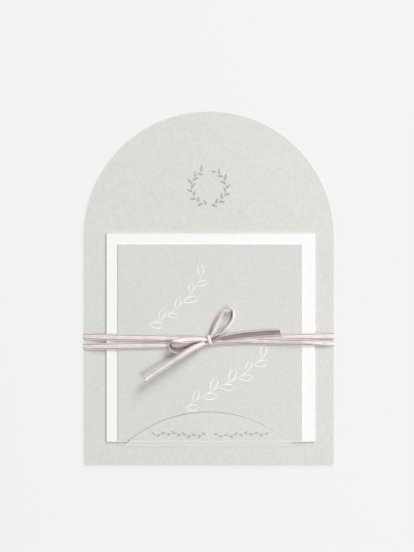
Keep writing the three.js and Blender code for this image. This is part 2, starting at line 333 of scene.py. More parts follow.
def paper(name, light, dark, edge, painted_slope_light, mottle_size, fibre_length, relief, roughness):
    """A paper from its light, dark and cut tones, the painted light on the flap's slope, and the size of
    its grain.
    """
    material, tree, shader = new_material(name, Roughness=roughness)
    shader.inputs["Specular IOR Level"].default_value = PAPER_SPECULAR
    grain = add(tree, "ShaderNodeGroup", node_tree=paper_grain)
    grain.inputs["Mottle Size"].default_value = mottle_size
    grain.inputs["Fibre Length"].default_value = fibre_length
    rim = add(tree, "ShaderNodeGroup", node_tree=cut_edge)
    spread = ramp(tree, grain.outputs["Mottle"], NOISE_LOW, NOISE_HIGH)
    clouded = math(tree, "MULTIPLY_ADD", grain.outputs["Cloud"], CLOUD_SHARE, -CLOUD_SHARE / 2)
    tone = math(tree, "ADD", spread, clouded)
    plain = blend(tree, tone, linear(*dark), linear(*light))
    # Painted light: the flap's slope is painted paler, to lift the shade that falls on it.
    face = blend(tree, rim.outputs["Slope Light"], plain, linear(*painted_slope_light))
    layered = blend(tree, rim.outputs["Layers"], linear(*edge), linear(*light))
    colour = blend(tree, rim.outputs["Edge"], face, layered)
    tree.links.new(colour, shader.inputs["Base Color"])
    bump = add(tree, "ShaderNodeBump", {"Height": grain.outputs["Height"], "Strength": relief,
                                        "Distance": PAPER_RELIEF})
    tree.links.new(bump.outputs[0], shader.inputs["Normal"])
    return material


# %% Painted shade along the flap's arc
# A thin line of painted shade along the flap's arc, full in the middle and fading towards the sides.
RIM_WIDTH = 0.45 * MM
RIM_CORE = 0.6
RIM_SIDE_SHARE = 0.35
RIM_FULL = 15 * MM
RIM_FADED = 38 * MM
RIM_SHADE_COLOUR = (182, 183, 178)


def paint_rim_shade(material):
    """Paints shade in a thin line along the flap's arc, where its edge stands over the grey card."""
    tree = material.node_tree
    shader = tree.nodes["Principled BSDF"]
    sheet_place = add(tree, "ShaderNodeTexCoord").outputs["Object"]
    from_centre = add(tree, "ShaderNodeVectorMath", {0: sheet_place, 1: (0, FLAP_CENTRE_Y, 0)},
                      operation="SUBTRACT")
    level = add(tree, "ShaderNodeVectorMath", {0: from_centre.outputs[0], 1: (1, 1, 0)},
                operation="MULTIPLY")
    distance = add(tree, "ShaderNodeVectorMath", {0: level.outputs[0]}, operation="LENGTH")
    off_line = math(tree, "ABSOLUTE", math(tree, "SUBTRACT", distance.outputs["Value"], FLAP_RADIUS))
    rim = ramp(tree, off_line, RIM_WIDTH * RIM_CORE, RIM_WIDTH, 1.0, 0.0)
    parts = add(tree, "ShaderNodeSeparateXYZ", {0: sheet_place})
    above_fold = math(tree, "GREATER_THAN", parts.outputs["Y"], FLAP_FOLD_Y)
    aside = math(tree, "ABSOLUTE", parts.outputs["X"])
    fading = ramp(tree, aside, RIM_FULL, RIM_FADED, 1.0, RIM_SIDE_SHARE)
    rim_above = math(tree, "MULTIPLY", rim, above_fold)
    rim_faded = math(tree, "MULTIPLY", rim_above, fading)
    paper_colour = shader.inputs["Base Color"].links[0].from_socket
    shaded_rim = blend(tree, rim_faded, paper_colour, linear(*RIM_SHADE_COLOUR))
    tree.links.new(shaded_rim, shader.inputs["Base Color"])


# %% Papers on the cards
grey_card_paper = paper(
    "grey_card_paper", light=(226, 227, 222), dark=(216, 217, 211), edge=(228, 229, 224),
    painted_slope_light=(250, 251, 246), mottle_size=1.5 * MM, fibre_length=1.1 * MM, relief=0.5, roughness=0.9)
thin_grey_paper = paper(
    "thin_grey_paper", light=(224, 225, 221), dark=(215, 216, 211), edge=(226, 227, 223),
    painted_slope_light=(226, 227, 223), mottle_size=1.3 * MM, fibre_length=1.0 * MM, relief=0.45, roughness=0.9)
white_card_paper = paper(
    "white_card_paper", light=(252, 252, 251), dark=(247, 248, 247), edge=(254, 254, 253),
    painted_slope_light=(252, 252, 251), mottle_size=2.4 * MM, fibre_length=1.6 * MM, relief=0.2, roughness=0.8)
# The grey card paper gets the painted shade line along the flap's arc.
paint_rim_shade(grey_card_paper)
CARD_PAPERS = {"arch_backing": grey_card_paper, "grey_card": thin_grey_paper,
               "white_card": white_card_paper}
for node_name, card_paper in CARD_PAPERS.items():
    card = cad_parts[node_name]
    card.data.materials.clear()
    card.data.materials.append(card_paper)
    print(node_name, "is", card_paper.name, "with", len(card.data.polygons), "faces")

# %% [markdown]
# ## Where the ribbon runs
#
# The ribbon is one length of satin. It could be draped by a cloth simulation, but a tied bow is hard to
# steer that way, and here it has to follow the CAD solid. So its route is written as tables of stations
# in ribbon widths, just as the CAD model has them, and a smooth curve is laid through each table. A
# station says where the middle of the ribbon is, how far it leans about its own length, how much of its
# width is left where folds gather it, and how deeply it cups.


# %% Smooth curve through a table
def smooth(rows, steps):
    """Lays a smooth curve through rows of numbers and returns steps rows for each span."""
    out = []
    for i in range(len(rows) - 1):
        before, start, end, after = (rows[max(0, min(len(rows) - 1, i + k))] for k in (-1, 0, 1, 2))
        for step in range(steps):
            t = step / steps
            out.append([
                0.5 * (2 * b + (c - a) * t + (2 * a - 5 * b + 4 * c - d) * t ** 2
                       + (3 * b - 3 * c + d - a) * t ** 3)
                for a, b, c, d in zip(before, start, end, after)
            ])
    out.append(list(rows[-1]))
    return out


# %% The two turns round the cards
# Each point is [share of the way to the card's edge, ribbon widths above the knot, layer, lean, share of
# the full cup].
LEFT_UPPER = [[0, -0.1, 1, 0, 1], [0.206, 0.033, 1, -6, 1], [0.367, 0.167, 1, -8, 1],
              [0.504, 0.267, 0.4, -6, 1], [0.648, 0.333, 0, -3, 1], [0.871, 0.367, 0, 0, 1],
              [1, 0.4, 0, 0, 1]]
LEFT_LOWER = [[0, -0.533, 0, 0, 1], [0.206, -0.7, 0, 8, 1], [0.428, -0.867, 0, 8, 1],
              [0.648, -0.933, 0, 4, 1], [0.871, -0.967, 0, 0, 1], [1, -1, 0, 0, 1]]
RIGHT_UPPER = [[0, -0.1, 1, 0, 1], [0.227, -0.1, 1, 0, 1], [0.44, 0.033, 1, 2, 0.8],
               [0.654, 0.233, 1, 0, 0.5], [0.845, 0.433, 0.6, -3, 0.4], [1, 0.533, 0, -3, 0.4]]
RIGHT_LOWER = [[0, -0.5, 0, 0, 1], [0.227, -0.267, 0, 2, 1], [0.44, -0.2, 0, 6, 1],
               [0.654, -0.283, 0, 15, 1.1], [0.845, -0.373, 0, 24, 1.3], [1, -0.387, 0, 26, 1.4]]
UPPER_TURN = (0.567, 0.633)
LOWER_TURN = (-1.1, -0.567)
STRAND_CUP = -0.3 * MM
STRAND_STEPS = 12
BEND_STEPS = 6


def layer(count):
    """Height of a ribbon's underside over the card, with this many layers of ribbon below it."""
    return RIBBON_CLEARANCE + count * (RIBBON_THICKNESS + RIBBON_CLEARANCE)


def rest_height(x):
    """Height of the surface that a taut ribbon rests on: level on the card, then down to the edge."""
    edge = HALF_BACKING + RIBBON_CLEARANCE + RIBBON_THICKNESS / 2 - EDGE_BEND
    card_edge = -LEFT_CARD_EDGE if x < 0 else RIGHT_CARD_EDGE
    share = min(1, max(0, (abs(x) - card_edge) / (edge - card_edge)))
    return GREY_TOP + share * (BACKING_TOP - GREY_TOP)


def strand(points, card_edge):
    """Stations of one strand from the knot to the card's edge."""
    out = []
    for share, widths, count, lean, cupping in smooth(points, STRAND_STEPS):
        x = share * card_edge
        cup = STRAND_CUP * cupping
        lift = layer(count) + RIBBON_THICKNESS / 2 + abs(cup)
        lift += RIBBON_WIDTH / 2 * abs(sin(radians(lean)))
        at = Vector((x, KNOT.y + widths * RIBBON_WIDTH, rest_height(x) + lift))
        across = Vector((0, -cos(radians(lean)), -sin(radians(lean))))
        out.append({"at": at, "across": across, "width": RIBBON_WIDTH, "cup": cup})
    return out


def edge_turn(sign, widths):
    """Stations round one side edge of the backing, from the front to the back."""
    outer = HALF_BACKING + RIBBON_CLEARANCE + RIBBON_THICKNESS / 2
    front = BACKING_TOP + RIBBON_CLEARANCE + RIBBON_THICKNESS / 2 - EDGE_BEND
    back = RIBBON_THICKNESS / 2 + EDGE_BEND
    out = []
    for centre, start in ((front, pi / 2), (back, 0)):
        for i in range(BEND_STEPS + 1):
            angle = start - pi / 2 * i / BEND_STEPS
            x = sign * (outer - EDGE_BEND + EDGE_BEND * cos(angle))
            at = Vector((x, KNOT.y + widths * RIBBON_WIDTH, centre + EDGE_BEND * sin(angle)))
            out.append({"at": at, "across": Vector((0, -1, 0)), "width": RIBBON_WIDTH, "cup": 0})
    return out


def turn_of_ribbon(left, right, turn):
    """One whole turn: out to the left, under the backing and back in from the right."""
    return (strand(left, LEFT_CARD_EDGE) + edge_turn(-1, turn[0]) + edge_turn(1, turn[1])[::-1]
            + strand(right, RIGHT_CARD_EDGE)[::-1])


turns = [turn_of_ribbon(LEFT_UPPER, RIGHT_UPPER, UPPER_TURN),
         turn_of_ribbon(LEFT_LOWER, RIGHT_LOWER, LOWER_TURN)]
print("stations in the two turns:", [len(t) for t in turns])

# %% The bow's loops and tails
# Each point is [x, y, lift, lean, share of the width, cup], in ribbon widths from the knot.
OVER_ONE = layer(1) / RIBBON_WIDTH
OVER_TWO = layer(2) / RIBBON_WIDTH
LEFT_LOOP = [
    [0, -0.033, OVER_TWO, 10, 0.55, -0.3], [-0.8, 0.033, 0.367, 12, 0.62, -0.3],
    [-1.967, 0.067, 0.5, 12, 0.8, -0.22], [-3.567, 0.033, 0.533, 20, 0.96, -0.16],
    [-5, -0.033, 0.467, 48, 1, -0.08], [-5.967, -0.267, 0.333, 92, 1, 0],
    [-6.25, -0.867, 0.2, 120, 1, 0.03], [-5.967, -1.4, OVER_ONE, 134, 1, 0.04],
    [-5.2, -1.7, OVER_ONE, 142, 1, 0.05], [-4.2, -1.6, OVER_ONE, 148, 1, 0.06],
    [-2.933, -1.133, 0.167, 156, 0.9, 0.1], [-1.633, -0.633, OVER_TWO, 168, 0.75, 0.18],
    [0, -0.2, OVER_TWO, 175, 0.6, 0.25],
]
UPPER_LOOP = [
    [0, 0, OVER_TWO, -5, 0.55, -0.3], [0.333, 0.733, 0.4, -8, 0.64, -0.32],
    [0.833, 1.6, 0.533, -8, 0.92, -0.2], [1.467, 2.867, 0.533, -10, 1, -0.18],
    [2.2, 4.133, 0.4, -28, 1, -0.12], [2.833, 4.7, 0.3, -78, 0.9, -0.05],
    [3.467, 4.833, 0.2, -104, 0.76, 0.05], [3.867, 4.5, 0.12, -70, 0.66, 0],
    [3.967, 3.833, 0.1, -34, 0.62, -0.1], [3.8, 3.2, 0.067, -24, 0.62, -0.12],
    [3.4, 2.533, 0.067, -22, 0.62, -0.12], [2.833, 1.733, 0.133, -36, 0.66, -0.1],
    [1.867, 0.933, 0.3, -92, 0.8, 0.08], [0.767, 0.3, 0.4, -155, 0.7, 0.2],
    [0, 0.1, OVER_TWO, -170, 0.6, 0.25],
]
LOWER_TAIL = [
    [-0.133, -0.2, OVER_TWO, 0, 0.6, 0.24], [-1.5, -0.8, 0.633, 4, 0.8, 0.18],
    [-3.1, -1.633, 0.867, 14, 0.94, 0.13], [-4.7, -2.7, 0.933, 22, 0.97, 0.11],
    [-6.3, -3.733, 0.9, 24, 0.97, 0.1], [-7.9, -4.767, 0.95, 22, 0.97, 0.09],
    [-9.5, -5.833, 1.05, 16, 0.97, 0.08], [-10.233, -6.4, 1.133, 12, 0.97, 0.08],
]
RIGHT_TAIL = [
    [0, -0.1, OVER_TWO, 180, 0.7, 0.2], [0.767, -0.033, OVER_TWO, 180, 0.8, 0.12],
    [2.533, 0.267, OVER_TWO, 176, 0.9, -0.04], [4.133, 0.533, OVER_TWO, 174, 1, -0.12],
    [5.733, 0.767, OVER_TWO, 174, 1, -0.15], [7.333, 0.9, OVER_TWO, 175, 1, -0.15],
    [8.933, 1.067, OVER_TWO, 176, 1, -0.15], [10.533, 1.133, OVER_TWO, 178, 1, -0.14],
    [11.4, 1.133, OVER_TWO, 180, 1, -0.14],
]
BOW_STEPS = 12


def bow_stretch(points, slant=0.0):
    """Stations of one loop or tail. A slant shifts the end's two corners along the ribbon."""
    rows = []
    for x, y, lift, lean, share, cup in points:
        reach = RIBBON_WIDTH * share * abs(sin(radians(lean))) / 2
        depth = RIBBON_THICKNESS * abs(cos(radians(lean))) / 2
        z = GREY_TOP + lift * RIBBON_WIDTH + reach + depth
        rows.append([KNOT.x + x * RIBBON_WIDTH, KNOT.y + y * RIBBON_WIDTH, z, lean, share, cup])
    route = smooth(rows, BOW_STEPS)
    out = []
    for i, (x, y, z, lean, share, cup) in enumerate(route):
        before, after = route[max(i - 1, 0)], route[min(i + 1, len(route) - 1)]
        along = (Vector(after[:3]) - Vector(before[:3])).normalized()
        level = Vector((-along.y, along.x, 0)).normalized()
        upright = along.cross(level)
        across = level * cos(radians(lean)) + upright * sin(radians(lean))
        out.append({"at": Vector((x, y, z)), "across": across, "width": RIBBON_WIDTH * share,
                    "cup": cup * RIBBON_WIDTH})
    out[-1]["slant"] = slant
    return out


bow = [bow_stretch(LEFT_LOOP), bow_stretch(UPPER_LOOP), bow_stretch(LOWER_TAIL, TAIL_SLANT),
       bow_stretch(RIGHT_TAIL, TAIL_SLANT)]


def length_of(stations):
    """Length along the middle of the ribbon."""
    return sum((b["at"] - a["at"]).length for a, b in zip(stations, stations[1:]))


print("ribbon used, in mm:", round(sum(length_of(s) for s in turns + bow) / MM))

# %% [markdown]
# ## The woven ribbon
#
# The ribbon is a strip with a thin woven body and a thicker cord down each edge. A Curve to Mesh node
# could carry one flat section along the route, but this section cups, narrows and leans from station to
# station, so the strip is built point by point. It is a closed shell: the satin face on one side, the
# dull reverse on the other, and a thinner edge, where the cord will lie. A UV map runs along and across
# the strip in metres, so the weave follows every bend.

# %% Strip with a cupped section
BODY_THICKNESS = 0.14 * MM
SECTION = 12
# From this share of the half width outwards the cloth has only this share of its thickness.
THIN_FROM = 0.84
THIN_SHARE = 0.55
# A cupped section is a parabola, and this share of its depth lies on one side of the middle line.
CUP_LEVEL = 0.4


def axes_at(stations, i):
    """Directions along the ribbon, across it and out of its face at one station."""
    before = stations[max(i - 1, 0)]["at"]
    after = stations[min(i + 1, len(stations) - 1)]["at"]
    along = (after - before).normalized()
    across = stations[i]["across"]
    side = (across - along * across.dot(along)).normalized()
    return along, side, along.cross(side)


def strip(stations, points, uvs, faces, sides):
    """Adds one stretch of ribbon to lists of points, UVs, faces and sides, where side 1 is the reverse."""
    base = len(points)
    ring = 2 * (SECTION + 1)
    run = 0.0
    for i, station in enumerate(stations):
        run += (station["at"] - stations[max(i - 1, 0)]["at"]).length
        along, side, up = axes_at(stations, i)
        upper, lower = [], []
        for k in range(SECTION + 1):
            u = 1 - 2 * k / SECTION
            bowed = station["cup"] * (u * u - CUP_LEVEL)
            shift = station.get("slant", 0.0) * u
            middle = station["at"] + side * (u * station["width"] / 2) + up * bowed + along * shift
            thin = BODY_THICKNESS / 2 * (THIN_SHARE if abs(u) > THIN_FROM else 1.0)
            upper.append(((middle + up * thin)[:], (run, u * RIBBON_WIDTH / 2)))
            lower.append(((middle - up * thin)[:], (run, u * RIBBON_WIDTH / 2)))
        for point, uv in upper + lower[::-1]:
            points.append(point)
            uvs.append(uv)
    for i in range(len(stations) - 1):
        for k in range(ring):
            a = base + i * ring + k
            b = base + i * ring + (k + 1) % ring
            faces.append((a, b, b + ring, a + ring))
            sides.append(1 if SECTION < k < ring - 1 else 0)
    first = [base + k for k in range(ring)]
    last = [base + (len(stations) - 1) * ring + k for k in range(ring)]
    faces.append(tuple(reversed(first)))
    faces.append(tuple(last))
    sides.extend([0, 0])


def mesh_object(name, points, faces, materials, slots=None, uvs=None, smooth_faces=True):
    """Makes an object at the origin from points and faces, with faces turned outwards."""
    mesh = bpy.data.meshes.new(name)
    mesh.from_pydata(points, [], faces)
    for material in materials:
        mesh.materials.append(material)
    if slots:
        mesh.polygons.foreach_set("material_index", slots)
    if uvs:
        layer_of_uvs = mesh.uv_layers.new(name="weave")
        for loop in mesh.loops:
            layer_of_uvs.data[loop.index].uv = uvs[loop.vertex_index]
    work = bmesh.new()
    work.from_mesh(mesh)
    bmesh.ops.recalc_face_normals(work, faces=work.faces[:])
    work.to_mesh(mesh)
    work.free()
    mesh.polygons.foreach_set("use_smooth", [smooth_faces] * len(mesh.polygons))
    mesh.update()
    return placed(name, mesh)


def line_object(name, points, edges):
    """Makes an object of plain lines."""
    mesh = bpy.data.meshes.new(name)
    mesh.from_pydata(points, edges, [])
    return placed(name, mesh)


# %% [markdown]
# ## Satin
#
# Satin floats most of its threads on one face, so that face shines along the ribbon and the reverse stays
# dull. Both sides share one shader group that reads the UV map. It gives the fine threads, and masks for
# painted shade in a groove near each edge and for the paler cord outside it, so they follow every bend.
# The face is pale and glossy with a soft sheen. The reverse is a deeper, greyer pink, partly for its dull
# weave and partly as painted shade, much darker than the same cloth would be.

# %% Shader group for woven threads
# Where the groove with its painted shade and the cord begin, from 0 in the middle of the ribbon to 1 at
# its edge.
GROOVE_FROM, GROOVE_FULL = 0.58, 0.66
CORD_FROM, CORD_FULL = 0.82, 0.88

woven_threads, source, result = new_group(
    "woven_threads",
    "ShaderNodeTree",
    [("Thread Pitch", "NodeSocketFloat", 0.11 * MM), ("Slub Length", "NodeSocketFloat", 4 * MM),
     ("Slub Width", "NodeSocketFloat", 0.4 * MM)],
    [("Threads", "NodeSocketFloat"), ("Slubs", "NodeSocketFloat"), ("Groove Shade", "NodeSocketFloat"),
     ("Cord", "NodeSocketFloat")],
)
weave_uv = add(woven_threads, "ShaderNodeUVMap", uv_map="weave").outputs[0]
along_across = add(woven_threads, "ShaderNodeSeparateXYZ", {0: weave_uv})
turns_across = math(woven_threads, "DIVIDE", along_across.outputs["Y"], source.outputs["Thread Pitch"])
thread_wave = math(woven_threads, "SINE", math(woven_threads, "MULTIPLY", turns_across, 2 * pi))
thread_mask = math(woven_threads, "MULTIPLY_ADD", thread_wave, 0.5, 0.5)
slub_along = math(woven_threads, "DIVIDE", along_across.outputs["X"], source.outputs["Slub Length"])
slub_across = math(woven_threads, "DIVIDE", along_across.outputs["Y"], source.outputs["Slub Width"])
slub_place = add(woven_threads, "ShaderNodeCombineXYZ", {0: slub_along, 1: slub_across})
slubs = add(woven_threads, "ShaderNodeTexNoise", {"Vector": slub_place.outputs[0], "Scale": 1.0,
                                                  "Detail": 2.0})
from_middle = math(woven_threads, "DIVIDE", math(woven_threads, "ABSOLUTE", along_across.outputs["Y"]),
                   RIBBON_WIDTH / 2)
cord = ramp(woven_threads, from_middle, CORD_FROM, CORD_FULL)
# Painted shade: a darker band just inside each edge, next to the cord.
inner = ramp(woven_threads, from_middle, GROOVE_FROM, GROOVE_FULL)
groove_shade = math(woven_threads, "SUBTRACT", inner, cord)
woven_threads.links.new(groove_shade, result.inputs["Groove Shade"])
woven_threads.links.new(cord, result.inputs["Cord"])
woven_threads.links.new(thread_mask, result.inputs["Threads"])
woven_threads.links.new(slubs.outputs["Fac"], result.inputs["Slubs"])
print(woven_threads.name, "has", len(woven_threads.nodes), "nodes")


# %% Satin materials
CORD_COLOUR = (240, 230, 229)
THREAD_RELIEF = 0.02 * MM
THREAD_STRENGTH = 0.25
SHEEN_ROUGHNESS = 0.4


def satin(name, light, dark, groove_shade, roughness, sheen, specular):
    """One side of the ribbon, from its light and dark tone, the painted shade of its groove and its gloss.
    """
    material, tree, shader = new_material(name, Roughness=roughness, Sheen_Weight=sheen,
                                          Sheen_Roughness=SHEEN_ROUGHNESS)
    shader.inputs["Specular IOR Level"].default_value = specular
    threads = add(tree, "ShaderNodeGroup", node_tree=woven_threads)
    tone = ramp(tree, threads.outputs["Slubs"], NOISE_LOW, NOISE_HIGH)
    body = blend(tree, tone, linear(*dark), linear(*light))
    # Painted shade in the groove near each edge.
    groove_shaded = blend(tree, threads.outputs["Groove Shade"], body, linear(*groove_shade))
    colour = blend(tree, threads.outputs["Cord"], groove_shaded, linear(*CORD_COLOUR))
    tree.links.new(colour, shader.inputs["Base Color"])
    bump = add(tree, "ShaderNodeBump", {"Height": threads.outputs["Threads"],
                                        "Strength": THREAD_STRENGTH, "Distance": THREAD_RELIEF})
    tree.links.new(bump.outputs[0], shader.inputs["Normal"])
    return material


satin_face = satin("satin_face", (255, 245, 244), (229, 210, 210), (114, 92, 94),
                   roughness=0.27, sheen=0.2, specular=0.6)
# Its darker tone is partly the dull reverse of the weave and partly painted shade.
shaded_satin_reverse = satin("shaded_satin_reverse", (166, 146, 147), (140, 119, 121), (104, 84, 87),
                      roughness=0.6, sheen=0.1, specular=0.3)
satin_cord = satin("satin_cord", (255, 250, 249), (248, 240, 240), (252, 246, 246),
                   roughness=0.45, sheen=0.2, specular=0.4)
print("satins:", satin_face.name, shaded_satin_reverse.name, satin_cord.name)

# %% Ribbon cloth
points, uvs, faces, sides = [], [], [], []
for stations in turns + bow:
    strip(stations, points, uvs, faces, sides)
ribbon_cloth = mesh_object("ribbon_cloth", points, faces, [satin_face, shaded_satin_reverse], sides, uvs)
print("ribbon cloth has", len(ribbon_cloth.data.polygons), "faces")

# %% [markdown]
# ## Edge cord
#
# Under a glass, each edge of such a ribbon is a fine cord with a row of tiny thread loops beside it, less
# than a millimetre apart. They repeat along a path, which is work for Geometry Nodes: lines just inside
# the edges become curves, one tree sweeps a round section along them, and the other sets points on them
# at the pitch of the weave and puts a small bead on each, turned along the edge. Realize Instances turns
# the result into plain geometry at the end.

# %% Lines that follow the ribbon's edges
CORD_INSET = 0.11 * MM
BEAD_INSET = 0.38 * MM


def edge_lines(stretches, inset):
    """A mesh of plain lines a little inside both edges of every stretch."""
    points, edges = [], []
    for stations in stretches:
        for hand in (1, -1):
            for i, station in enumerate(stations):
                along, side, up = axes_at(stations, i)
                u = 1 - inset / (station["width"] / 2)
                out = hand * u * station["width"] / 2
                shift = station.get("slant", 0.0) * hand
                bowed = station["cup"] * (u * u - CUP_LEVEL)
                place = station["at"] + side * out + up * bowed + along * shift
                if i:
                    edges.append((len(points) - 1, len(points)))
                points.append(place[:])
    return line_object("edge_lines", points, edges)


# %% Geometry Nodes tree for a beaded edge
beaded_edge, source, result = new_group(
    "beaded_edge",
    "GeometryNodeTree",
    [
        ("Geometry", "NodeSocketGeometry", None),
        ("Pitch", "NodeSocketFloat", 0.96 * MM),
        ("Bead Length", "NodeSocketFloat", 0.5 * MM),
        ("Bead Width", "NodeSocketFloat", 0.34 * MM),
        ("Bead Height", "NodeSocketFloat", 0.26 * MM),
        ("Material", "NodeSocketMaterial", None),
    ],
    [("Geometry", "NodeSocketGeometry")],
)
edge_curves = add(beaded_edge, "GeometryNodeMeshToCurve", {"Mesh": source.outputs["Geometry"]})
bead_points = add(beaded_edge, "GeometryNodeCurveToPoints",
                  {"Curve": edge_curves.outputs[0], "Length": source.outputs["Pitch"]}, mode="LENGTH")
bead = add(beaded_edge, "GeometryNodeMeshUVSphere", {"Segments": 6, "Rings": 4, "Radius": 0.5})
bead_size = add(beaded_edge, "ShaderNodeCombineXYZ", {0: source.outputs["Bead Width"],
                                                      1: source.outputs["Bead Height"],
                                                      2: source.outputs["Bead Length"]})
beads = add(beaded_edge, "GeometryNodeInstanceOnPoints", {
    "Points": bead_points.outputs["Points"], "Instance": bead.outputs["Mesh"],
    "Rotation": bead_points.outputs["Rotation"], "Scale": bead_size.outputs[0]})
end_growth(beaded_edge, beads.outputs[0], source, result)

# %% Geometry Nodes tree for a round cord
round_cord, source, result = new_group(
    "round_cord",
    "GeometryNodeTree",
    [
        ("Geometry", "NodeSocketGeometry", None),
        ("Cord Width", "NodeSocketFloat", 0.22 * MM),
        ("Material", "NodeSocketMaterial", None),
    ],
    [("Geometry", "NodeSocketGeometry")],
)
cord_curves = add(round_cord, "GeometryNodeMeshToCurve", {"Mesh": source.outputs["Geometry"]})
cord_radius = math(round_cord, "MULTIPLY", source.outputs["Cord Width"], 0.5)
cord_section = add(round_cord, "GeometryNodeCurvePrimitiveCircle",
                   {"Resolution": 6, "Radius": cord_radius})
cord_mesh = add(round_cord, "GeometryNodeCurveToMesh", {
    "Curve": cord_curves.outputs[0], "Profile Curve": cord_section.outputs[0], "Fill Caps": True})
end_growth(round_cord, cord_mesh.outputs[0], source, result)


def grown(base, tree, name, **values):
    """Runs a Geometry Nodes tree on an object and returns its result as a plain mesh object."""
    modifier = base.modifiers.new("grow", "NODES")
    modifier.node_group = tree
    sockets = {item.name: item.identifier for item in tree.interface.items_tree
               if item.item_type == "SOCKET" and item.in_out == "INPUT"}
    for label, value in values.items():
        modifier[sockets[label.replace("_", " ")]] = value
    evaluated = base.evaluated_get(bpy.context.evaluated_depsgraph_get())
    mesh = bpy.data.meshes.new_from_object(evaluated)
    mesh.name = name
    base.modifiers.remove(modifier)
    bpy.data.objects.remove(base)
    return placed(name, mesh)


# %% Ribbon edge
# Under the backing the edges are kept from sinking below the surface that the invitation lies on.
ribbon_cord = grown(edge_lines(turns + bow, CORD_INSET), round_cord, "ribbon_cord", Material=satin_cord)
ribbon_beads = grown(edge_lines(turns + bow, BEAD_INSET), beaded_edge, "ribbon_beads", Material=satin_cord)
for piece in (ribbon_cord, ribbon_beads):
    for vertex in piece.data.vertices:
        vertex.co.z = max(vertex.co.z, 0.0)
print("ribbon edge has", len(ribbon_cord.data.polygons) + len(ribbon_beads.data.polygons), "faces")

# %% [markdown]
# ## Knot
#
# The knot is the ribbon wrapped once, tightly, round the place where the loops and tails cross. Pulled
# tight, it is narrower than the ribbon and creases along its length. It is a ring of oval sections: the
# crown of the band bulges, soft creases run round it, and the sides draw in over the gathered ribbon.

# %% Knot
KNOT_RING = 48
KNOT_ACROSS = 20
DRAWN_IN = 0.55
CROWN_POWER = 3.2
CREASES = 3
CREASE_DEPTH = 0.15
CREASE_SWING = 0.6

knot_points, knot_uvs, knot_faces = [], [], []
for j in range(KNOT_ACROSS + 1):
    v = 2 * j / KNOT_ACROSS - 1
    crown = 1 - abs(v) ** CROWN_POWER * DRAWN_IN
    for i in range(KNOT_RING):
        angle = 2 * pi * i / KNOT_RING
        crease = 1 - CREASE_DEPTH * (0.5 + 0.5 * cos(CREASES * pi * v + CREASE_SWING * sin(angle)))
        local = Vector((v * KNOT_WIDTH / 2, cos(angle) * KNOT_LENGTH / 2 * crown * crease,
                        sin(angle) * KNOT_HEIGHT / 2 * crown * crease))
        turned = Vector((local.x * cos(KNOT_TURN) - local.y * sin(KNOT_TURN),
                         local.x * sin(KNOT_TURN) + local.y * cos(KNOT_TURN), local.z))
        centre = Vector((KNOT.x, KNOT.y, GREY_TOP + RIBBON_CLEARANCE + KNOT_HEIGHT / 2))
        knot_points.append((turned + centre)[:])
        knot_uvs.append((angle * KNOT_LENGTH / 4, v * KNOT_WIDTH / 2))
for j in range(KNOT_ACROSS):
    for i in range(KNOT_RING):
        a, b = j * KNOT_RING + i, j * KNOT_RING + (i + 1) % KNOT_RING
        knot_faces.append((a, b, b + KNOT_RING, a + KNOT_RING))
knot_faces.append(tuple(range(KNOT_RING)))
knot_faces.append(tuple(KNOT_ACROSS * KNOT_RING + i for i in range(KNOT_RING)))
ribbon_knot = mesh_object("ribbon_knot", knot_points, knot_faces, [satin_face], None, knot_uvs)
print("knot has", len(ribbon_knot.data.polygons), "faces")

# %% [markdown]
# ## Printed leaves
#
# The cards carry small printed drawings: a wreath at the top, a fine line of leaves on the flap, and two
# larger white sprigs on the grey card. A print is a skin of ink, a few hundredths of a millimetre high.
# It could be painted into the paper's material, but as a thin mesh it stays sharp from close up. One
# Geometry Nodes tree grows every sprig: it makes a stem of its curve and sets leaves along it, left and
# right by turns.

# %% Ink
INK_HEIGHT = 0.03 * MM
INK_GRAIN = 0.5 * MM


def ink(name, light, dark, roughness):
    """Printing ink that lets a little of the paper's grain show."""
    material, tree, shader = new_material(name, Roughness=roughness)
    place = add(tree, "ShaderNodeTexCoord").outputs["Object"]
    grain = add(tree, "ShaderNodeTexNoise", {"Vector": place, "Scale": 1 / INK_GRAIN, "Detail": 2.0})
    colour = blend(tree, grain.outputs["Fac"], linear(*dark), linear(*light))
    tree.links.new(colour, shader.inputs["Base Color"])
    return material


mauve_ink = ink("mauve_ink", (192, 183, 181), (178, 168, 167), roughness=0.7)
white_ink = ink("white_ink", (255, 255, 254), (250, 250, 249), roughness=0.5)
print("inks:", mauve_ink.name, white_ink.name)


# %% Leaves
LEAF_BLUNTNESS = 0.35
LEAF_FULLNESS = 0.25


def leaf_outline(length, width, line):
    """A leaf drawn as a thin closed line, pointing along X."""
    steps = 20
    points, faces = [], []
    for i in range(steps):
        t = 2 * pi * i / steps
        x = length * (0.5 - 0.5 * cos(t))
        y = width / 2 * sin(t) * (1 - LEAF_FULLNESS * cos(t)) * abs(sin(t)) ** LEAF_BLUNTNESS
        nx, ny = cos(t) * width, -sin(t) * length
        size = (nx * nx + ny * ny) ** 0.5
        outward = Vector((-nx / size, ny / size, 0)) * (line / 2)
        for shift, z in ((1, 0), (0, 1), (-1, 0), (0, -1)):
            points.append((x + outward.x * shift, y + outward.y * shift, z * line / 2))
    for i in range(steps):
        for k in range(4):
            a, b = i * 4 + k, i * 4 + (k + 1) % 4
            c, d = (i + 1) % steps * 4 + (k + 1) % 4, (i + 1) % steps * 4 + k
            faces.append((a, b, c, d))
    return points, faces


def leaf_solid(length, width, line):
    """A filled leaf, pointing along X."""
    steps = 16
    rim = []
    for i in range(steps):
        t = 2 * pi * i / steps
        rim.append((length * (0.5 - 0.5 * cos(t)), width / 2 * sin(t) * abs(sin(t)) ** LEAF_BLUNTNESS))
    points = [(x, y, z) for z in (-line / 2, line / 2) for x, y in rim]
    faces = [tuple(range(steps)), tuple(range(steps, 2 * steps))]
    faces += [(i, (i + 1) % steps, steps + (i + 1) % steps, steps + i) for i in range(steps)]
    return points, faces


# %% Geometry Nodes tree for a leafy stem
LEAF_WOBBLE = 0.12
LEAF_SMALLEST, LEAF_LARGEST = 0.82, 1.12

